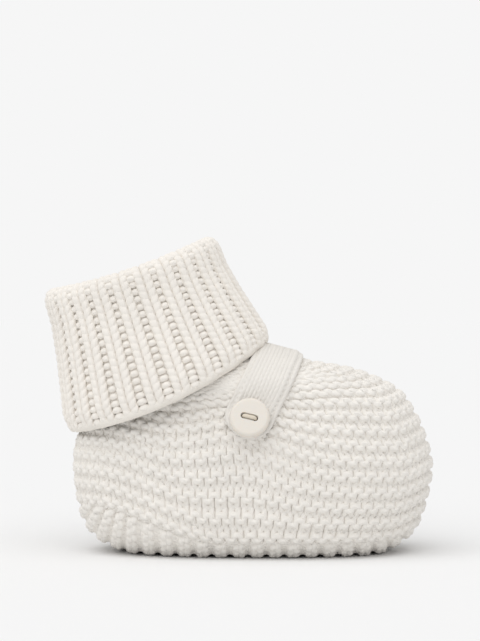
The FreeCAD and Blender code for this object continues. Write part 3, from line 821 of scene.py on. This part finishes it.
def cuff_fabric():
    """The turned-down rib, in millimetres from the hem, over the fold and down inside.

    Also gives its length, where the fold starts and where its crest is.
    """
    fold_start = FOLD_LINE - FOLD_RISE
    rings = []
    for share in np.linspace(0, 1, WALL_RINGS):
        half = TOP_HALF + (HEM_HALF - TOP_HALF) * np.interp(share, FLARE_AT, FLARE)
        rings.append(rib_ring(half, HEM_LINE * (1 - share) + fold_start * share))
    for turn in np.linspace(0, math.pi, FOLD_RINGS)[1:]:
        half = TOP_HALF - FOLD_RADIUS * (1 - math.cos(turn))
        rings.append(rib_ring(half, fold_start + FOLD_RISE * math.sin(turn)))
    for drop in np.linspace(0, TUCKED_IN, 10)[1:]:
        rings.append(rib_ring(TOP_HALF - 2 * FOLD_RADIUS, fold_start - drop))
    rings = np.array(rings)
    lengths = np.linalg.norm(np.diff(rings, axis=0), axis=-1).mean(axis=1)
    along = np.concatenate([[0], np.cumsum(lengths)])
    rows = np.arange(0, along[-1], CUFF_ROW)
    even = np.stack([between(rows, along, rings[:, column]) for column in range(rings.shape[1])], axis=1)
    outside = WALL_RINGS - 1
    return Fabric(even, 0.0, CUFF_ROW, True), along[-1], along[outside], along[outside + FOLD_RINGS // 2]


def leg_row(yarn, fabric, row, ribs, course, radius, wale_half):
    """The knit wales of one course: two long tapering legs a rib, laid like a plait."""
    t = np.linspace(0, 1, 8)
    swell = 0.72 + 0.28 * np.sin(math.pi * t)
    dive = -0.75 * np.abs(2 * t - 1) ** 3
    length, column = fabric.column_at_distance(row)
    for rib in range(ribs):
        middle = (rib + 0.5) / ribs * length
        for side in (-1, 1):
            across = middle + side * (wale_half * (0.27 + 0.40 * t))
            path, normals = fabric.at(row + course * (1.75 * t - 0.55), column(across / length % 1.0),
                                      dive - radius)
            yarn.add(path, normals, radius * swell, flat=0.86)


def purl_row(yarn, fabric, row, ribs, radius, gutter_half, sunk):
    """The purl columns of one course: one short bump across each gutter."""
    t = np.linspace(-1, 1, 7)
    length, column = fabric.column_at_distance(row)
    for rib in range(ribs):
        across = rib / ribs * length + gutter_half * t
        path, normals = fabric.at(row + 0.3 * (1 - t * t), column(across / length % 1.0),
                                  -sunk - radius - 0.35 * t * t)
        yarn.add(path, normals, radius * (1 - 0.42 * t * t))


def make_cuff():
    fabric, total, outside, crest = cuff_fabric()
    ribs = sizes().rib_count
    course = mm(sizes().rib_course)
    radius = mm(sizes().rib_yarn) / 2
    band = mm(sizes().hem_band)
    parts = {"cuff_low_rib": Yarn(), "cuff_rib": Yarn(), "cuff_fold": Yarn()}
    for row in np.arange(band * 0.75, total - course * 0.5, course):
        near_crest = 1 - smooth(abs(row - crest), 3.5, 8.0)
        near_hem = 1 - smooth(row, band, band + 4.0)
        filled = max(near_crest, near_hem)
        if row < outside:
            target = parts["cuff_low_rib" if row < outside / 2 else "cuff_rib"]
        else:
            target = parts["cuff_fold"]
        leg_row(target, fabric, row, ribs, course, radius, RIB_WALE / 2)
        purl_row(target, fabric, row, ribs, 1.02, 1.35, GUTTER * (1 - 0.8 * filled))
    for name, rows in parts.items():
        finish_piece(rows.build(name, rib_cotton()), "cuff", "knit_rib", "cuff_turnover")
    hem = Yarn(14)
    share = np.linspace(0, 1, 1000, endpoint=False)
    lobes = -np.cos(share * 2 * math.pi * ribs)
    path, normals = fabric.at(band * 0.5 + 0.1 * lobes, share, -HEM_THICK * 0.66 + 0.2 * lobes)
    hem.add(path, normals, band * 0.52, closed=True, flat=HEM_THICK / band)
    finish_piece(hem.build("cuff_hem", hem_cotton_with_painted_shade()), "cuff", "knit_rib", "cuff_turnover")
    back = backing("cuff_backing", fabric, np.linspace(1.2, total - 0.5, 110), -1.9, -2.6, rib_cotton())
    finish_piece(back, "cuff", "knit_rib", "cuff_turnover")
    seam = Yarn(6)
    seam_leaves(seam, fabric, np.arange(1.0, crest, 2.0), column=0.5, half_width=0.006, depth=-0.9,
                radius=0.7)
    finish_piece(seam.build("cuff_back_seam_yarn", rib_cotton()), "cuff", "knit_rib", "cuff_back_seam")


def make_ankle_rib():
    """The standing rib inside the cuff, seen from above and when the cuff is turned up."""
    low = np.full(len(RIB_ANGLES), ANKLE_LEVEL - STANDING_OVERLAP)
    high = FOLD_LINE - FOLD_RISE - STANDING_OVERLAP
    low_half = ANKLE_HALF + 0.2
    top_half = TOP_HALF - 3.6
    points = np.array([rib_ring(low_half * (1 - share) + top_half * share,
                                low * (1 - share) + high * share) for share in np.linspace(0, 1, 80)])
    total = np.linalg.norm(np.diff(points, axis=0), axis=-1).mean(axis=1).sum()
    fabric = Fabric(points, 0.0, total / (len(points) - 1), True)
    yarn = Yarn(6)
    ribs = sizes().rib_count
    course = mm(sizes().rib_course)
    for row in np.arange(1.2, total - 0.5, course):
        leg_row(yarn, fabric, row, ribs, course, STANDING_YARN / 2, RIB_WALE * 0.42)
        purl_row(yarn, fabric, row, ribs, STANDING_YARN / 2, 1.2, 0.4)
    finish_piece(yarn.build("ankle_rib_rows", rib_cotton()), "foot", "knit_rib", "ankle_rib")
    back = backing("ankle_rib_backing", fabric, np.linspace(0.2, total, 60), -1.2, -1.6, rib_cotton())
    finish_piece(back, "foot", "knit_rib", "ankle_rib")
    seam = Yarn(6)
    lay_cord(seam, fabric, row=0.5, depth=-0.5, swing=(0.35, 0.35), turns=60, radius=0.6)
    finish_piece(seam.build("cuff_seam_yarn", garter_cotton()), "foot", "knit_cream", "cuff_seam")


# ---- strap
STRAP_LEAN = math.radians(26.5)
STRAP_UP = np.array([math.sin(STRAP_LEAN), 0, math.cos(STRAP_LEAN)])
STRAP_SIDE = np.array([math.cos(STRAP_LEAN), 0, -math.sin(STRAP_LEAN)])
STRAP_WIDTH = 12.3
STRAP_THICKNESS = 1.8
STRAP_TAIL = 5.4
STRAP_END_ROUND = 5.6
STRAP_PITCH = 1.5
STRAP_WALES = 6


def strap_fabric():
    """The band over the instep: rows across it, from the button's end to the far end."""
    tree = foot_tree()
    low, high = box_mm("button")
    button = (low + high) / 2
    low_end = np.array([button[0], 0, button[2]]) - STRAP_UP * STRAP_TAIL
    ways = [np.array([0, -math.cos(turn), 0]) + STRAP_UP * math.sin(turn)
            for turn in np.radians(np.linspace(-20, 200, 441))]
    points = []
    normals = []
    for offset in np.linspace(-STRAP_WIDTH / 2, STRAP_WIDTH / 2, 33):
        hits, ups = cast_line(tree, low_end + STRAP_SIDE * offset + STRAP_UP * 2.0, ways,
                              lambda hit: (np.array(hit) - low_end) @ STRAP_UP >= 0)
        along = running_length(hits)
        at = np.linspace(0, along[-1], 300)
        points.append(between(at, along, hits))
        normals.append(unit(softened(between(at, along, ups), 19)))
    points = np.stack(points, axis=1)
    normals = np.stack(normals, axis=1)
    length = np.linalg.norm(np.diff(points[:, points.shape[1] // 2], axis=0), axis=1).sum()
    return Fabric(points, 0.0, length / (len(points) - 1), False, normals=normals), length


def strap_reach(row, length, least=0.0):
    """Share of its full width that the strap has at a row, smaller in its rounded ends."""
    corner = np.maximum(0.0, 1 - np.minimum(row, length - row) / STRAP_END_ROUND)
    return np.sqrt(np.maximum(least, 1 - corner ** 2))


def make_strap():
    fabric, length = strap_fabric()
    yarn = Yarn()
    radius = mm(sizes().strap_yarn) / 2
    t = np.arange(STRAP_WALES * STITCH_POINTS + 1) * 2 * math.pi / STITCH_POINTS
    share = (t / (2 * math.pi) + 0.12 * np.sin(2 * t)) / STRAP_WALES
    curl = -0.9 * smooth(np.abs(share - 0.5) * 2, 0.78, 1.0)
    depth = STRAP_THICKNESS - radius + 0.05 * (-np.cos(2 * t) - 1) + curl
    for row in np.arange(0.9, length - 0.5, STRAP_PITCH):
        across = 0.5 + (share - 0.5) * 0.94 * strap_reach(row, length)
        swing = STRAP_PITCH * 0.9 * smooth(min(row, length - row), 0.0, 4.0)
        path, normals = fabric.at(row - np.cos(t) * swing, across, depth)
        yarn.add(path, normals, radius)
    edge = length * (0.5 - 0.5 * np.cos(np.linspace(0.02, math.pi - 0.02, 260)))
    for side in (-1, 1):
        across = 0.5 + side * 0.475 * strap_reach(edge, length)
        path, normals = fabric.at(edge, across, np.full(len(edge), 0.5))
        yarn.add(path, normals, 0.7)
    finish_piece(yarn.build("strap_rows", strap_cotton()), "foot", "knit_strap", "instep_strap")
    rows = np.linspace(0.8, length - 0.8, 100)
    half = 0.45 * strap_reach(rows, length, least=0.05)
    column = 0.5 + np.linspace(-1, 1, 15)[None, :] * half[:, None]
    grid_rows = np.broadcast_to(rows[:, None], column.shape)
    outer, _ = fabric.at(grid_rows, column, np.full(column.shape, 0.85))
    inner, _ = fabric.at(grid_rows, column, np.full(column.shape, 0.05))
    back = sheet_between("strap_backing", outer, inner, False, strap_cotton())
    finish_piece(back, "foot", "knit_strap", "instep_strap")


# ---- hard and small parts kept from CAD
def dress(node, material):
    """Gives a CAD node its material."""
    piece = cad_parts[node]
    piece.data.materials.clear()
    piece.data.materials.append(material)
    piece.data.polygons.foreach_set("use_smooth", np.ones(len(piece.data.polygons), bool))


def make_button():
    """The button, its thread and the strap's stitches keep their CAD shapes."""
    dress("button", named("cream_cast_resin_button", moulded_resin, colours().button))
    dress("button_thread", sewing_cotton())
    dress("strap_end_stitches", sewing_cotton())


# ---- stage, light and camera
VIEW_DISTANCE = 0.525
VIEW_HEIGHT = 0.0642
VIEW_WIDTH = 0.1345
VIEW_SIDEWAYS = 0.0002
PAPER_LEVEL = 0.922
SKY_LIGHT = 0.66
TOP_LIGHT = 1.45
TOP_LIGHT_WAY = (-0.25, -0.45, 1.0)
TOP_LIGHT_UPRIGHT = 0.889  # cosine of the angle between that way and straight up
FLOOR_LIGHT = SKY_LIGHT + TOP_LIGHT * TOP_LIGHT_UPRIGHT / math.pi
FLOOR_REACH = 40.0


def paper_material():
    """White paper that looks as bright as the studio behind it wherever nothing shades it."""
    material = bpy.data.materials.new("white_backlit_paper")
    material.use_nodes = True
    shader = material.node_tree.nodes["Principled BSDF"]
    shade = PAPER_LEVEL / FLOOR_LIGHT
    shader.inputs["Base Color"].default_value = (shade, shade, shade, 1.0)
    shader.inputs["Roughness"].default_value = 1.0
    shader.inputs["Specular IOR Level"].default_value = 0.0
    return material


def make_stage():
    scene = bpy.context.scene
    around = np.arange(64) * 2 * math.pi / 64
    rim = np.stack([np.cos(around) * FLOOR_REACH, np.sin(around) * FLOOR_REACH, around * 0], axis=1)
    floor = new_mesh("paper_floor", rim, np.arange(64)[None, :], paper_material())
    world = bpy.data.worlds.new("studio")
    scene.world = world
    world.use_nodes = True
    tree = world.node_tree
    lighting = tree.nodes["Background"]
    lighting.inputs["Strength"].default_value = SKY_LIGHT
    seen = add_node(tree, "ShaderNodeBackground", inputs={"Strength": PAPER_LEVEL})
    for node in (lighting, seen):
        node.inputs["Color"].default_value = (1, 1, 1, 1)
    ray = add_node(tree, "ShaderNodeLightPath")
    mix = add_node(tree, "ShaderNodeMixShader",
                   links={0: (ray, "Is Camera Ray"), 1: (lighting, 0), 2: (seen, 0)})
    tree.links.new(mix.outputs[0], tree.nodes["World Output"].inputs["Surface"])
    add_sun("top_softbox", TOP_LIGHT_WAY, TOP_LIGHT)
    camera = bpy.data.cameras.new("camera")
    view = bpy.data.objects.new("camera", camera)
    scene.collection.objects.link(view)
    view.location = (VIEW_SIDEWAYS, -VIEW_DISTANCE, VIEW_HEIGHT)
    view.rotation_euler = (math.pi / 2, 0, 0)
    camera.sensor_fit = "HORIZONTAL"
    camera.lens = camera.sensor_width * VIEW_DISTANCE / VIEW_WIDTH
    camera.clip_start = 0.01
    camera.clip_end = 200.0
    scene.camera = view
    scene.view_settings.view_transform = "Standard"
    scene.view_settings.look = "None"


def add_sun(name, way, strength):
    """A very wide, even light from one side, as from a large softbox."""
    light = bpy.data.lights.new(name, "SUN")
    light.angle = math.radians(80)
    light.energy = strength
    lamp = bpy.data.objects.new(name, light)
    lamp.rotation_euler = Vector(way).to_track_quat("Z", "Y").to_euler()
    bpy.context.scene.collection.objects.link(lamp)


# ---- properties, operators, panel
def length_property(name, description, millimetres):
    return bpy.props.FloatProperty(name=name, description=description, default=millimetres * MM,
                                   min=0.0, precision=5, subtype="DISTANCE", unit="LENGTH")


def colour_property(name, description, code):
    return bpy.props.FloatVectorProperty(name=name, description=description, default=srgb(code),
                                         min=0.0, max=1.0, size=3, subtype="COLOR")


class BootieSizes(bpy.types.PropertyGroup):
    """Sizes of the yarn and the stitches."""
    garter_yarn: length_property("Garter yarn", "Thickness of the yarn in the upper", 1.9)
    garter_stitch: length_property("Garter stitch", "Width of one stitch in the upper", 3.5)
    garter_ridge: length_property("Garter ridge", "Distance between the ridges of the upper", 4.3)
    sole_yarn: length_property("Sole yarn", "Thickness of the yarn in the sole", 2.3)
    sole_ridge: length_property("Sole ridge", "Distance between the ridges of the sole", 4.9)
    rib_count: bpy.props.IntProperty(name="Ribs", description="Ribs round the ankle and the cuff",
                                     default=24, min=6, max=60)
    rib_course: length_property("Rib course", "Height of one course of the rib", 2.0)
    rib_yarn: length_property("Rib yarn", "Thickness of the yarn in the cuff", 2.4)
    hem_band: length_property("Hem band", "Height of the rolled edge of the cuff", 2.3)
    strap_yarn: length_property("Strap yarn", "Thickness of the yarn in the strap", 1.6)


class BootieColours(bpy.types.PropertyGroup):
    """Colours of the yarns and the button."""
    garter: colour_property("Garter", "Yarn of the upper, the sole and their seams", "#F1EDE7")
    rib: colour_property("Rib", "Yarn of the ankle and the cuff", "#F2EDE6")
    # The hem colour is the rib yarn darkened as painted shade, for the self-shadowing that the smooth hem
    # tube lacks.
    hem: colour_property("Hem", "Rolled edge of the cuff", "#ECE7DF")
    strap: colour_property("Strap", "Yarn of the instep strap", "#E6E2DC")
    thread: colour_property("Thread", "Sewing thread of the button and the strap", "#DDD3C2")
    button: colour_property("Button", "Resin of the button", "#E1DBD2")


class BOOTIE_OT_stage(bpy.types.Operator):
    """Sets up the white paper, the light and the camera"""
    bl_idname = "bootie.stage"
    bl_label = "Stage"

    def execute(self, context):
        make_stage()
        return {"FINISHED"}


class BOOTIE_OT_upper(bpy.types.Operator):
    """Knits the upper in garter rings round the foot"""
    bl_idname = "bootie.upper"
    bl_label = "Upper"

    def execute(self, context):
        make_upper()
        return {"FINISHED"}


class BOOTIE_OT_sole(bpy.types.Operator):
    """Knits the sole in garter ridges across the foot"""
    bl_idname = "bootie.sole"
    bl_label = "Sole"

    def execute(self, context):
        make_sole()
        return {"FINISHED"}


class BOOTIE_OT_foot_seams(bpy.types.Operator):
    """Lays the seam between sole and upper, and the one up the heel"""
    bl_idname = "bootie.foot_seams"
    bl_label = "Foot Seams"

    def execute(self, context):
        fabric = upper_fabric()
        make_sole_seam(fabric)
        make_heel_seam(fabric)
        return {"FINISHED"}


class BOOTIE_OT_ankle_rib(bpy.types.Operator):
    """Knits the standing rib and the seam that links it to the foot"""
    bl_idname = "bootie.ankle_rib"
    bl_label = "Ankle Rib"

    def execute(self, context):
        make_ankle_rib()
        return {"FINISHED"}


class BOOTIE_OT_cuff(bpy.types.Operator):
    """Knits the turned-down cuff with its fold, hem and back seam"""
    bl_idname = "bootie.cuff"
    bl_label = "Cuff"

    def execute(self, context):
        make_cuff()
        return {"FINISHED"}


class BOOTIE_OT_strap(bpy.types.Operator):
    """Knits the strap over the instep"""
    bl_idname = "bootie.strap"
    bl_label = "Strap"

    def execute(self, context):
        make_strap()
        return {"FINISHED"}


class BOOTIE_OT_button(bpy.types.Operator):
    """Finishes the button, its thread and the stitches of the strap"""
    bl_idname = "bootie.button"
    bl_label = "Button and Stitches"

    def execute(self, context):
        make_button()
        return {"FINISHED"}


OPERATORS = (BOOTIE_OT_stage, BOOTIE_OT_upper, BOOTIE_OT_sole, BOOTIE_OT_foot_seams,
             BOOTIE_OT_cuff, BOOTIE_OT_ankle_rib, BOOTIE_OT_strap, BOOTIE_OT_button)


class VIEW3D_PT_bootie(bpy.types.Panel):
    """Sizes, colours and pieces of the bootie"""
    bl_idname = "VIEW3D_PT_bootie"
    bl_label = "Baby Bootie"
    bl_space_type = "VIEW_3D"
    bl_region_type = "UI"
    bl_category = "Bootie"

    def draw(self, context):
        for group in (context.scene.bootie_sizes, context.scene.bootie_colours):
            box = self.layout.box()
            for key in group.__annotations__:
                box.prop(group, key)
        for operator in OPERATORS:
            self.layout.operator(operator.bl_idname)


CLASSES = (BootieSizes, BootieColours) + OPERATORS + (VIEW3D_PT_bootie,)


def register():
    for item in CLASSES:
        bpy.utils.register_class(item)
    bpy.types.Scene.bootie_sizes = bpy.props.PointerProperty(type=BootieSizes)
    bpy.types.Scene.bootie_colours = bpy.props.PointerProperty(type=BootieColours)


def unregister():
    del bpy.types.Scene.bootie_colours
    del bpy.types.Scene.bootie_sizes
    for item in reversed(CLASSES):
        bpy.utils.unregister_class(item)


def main():
    register()
    bpy.ops.bootie.stage()
    bpy.ops.bootie.upper()
    bpy.ops.bootie.sole()
    bpy.ops.bootie.foot_seams()
    bpy.ops.bootie.cuff()
    bpy.ops.bootie.ankle_rib()
    bpy.ops.bootie.strap()
    bpy.ops.bootie.button()


if __name__ == "__main__":
    main()
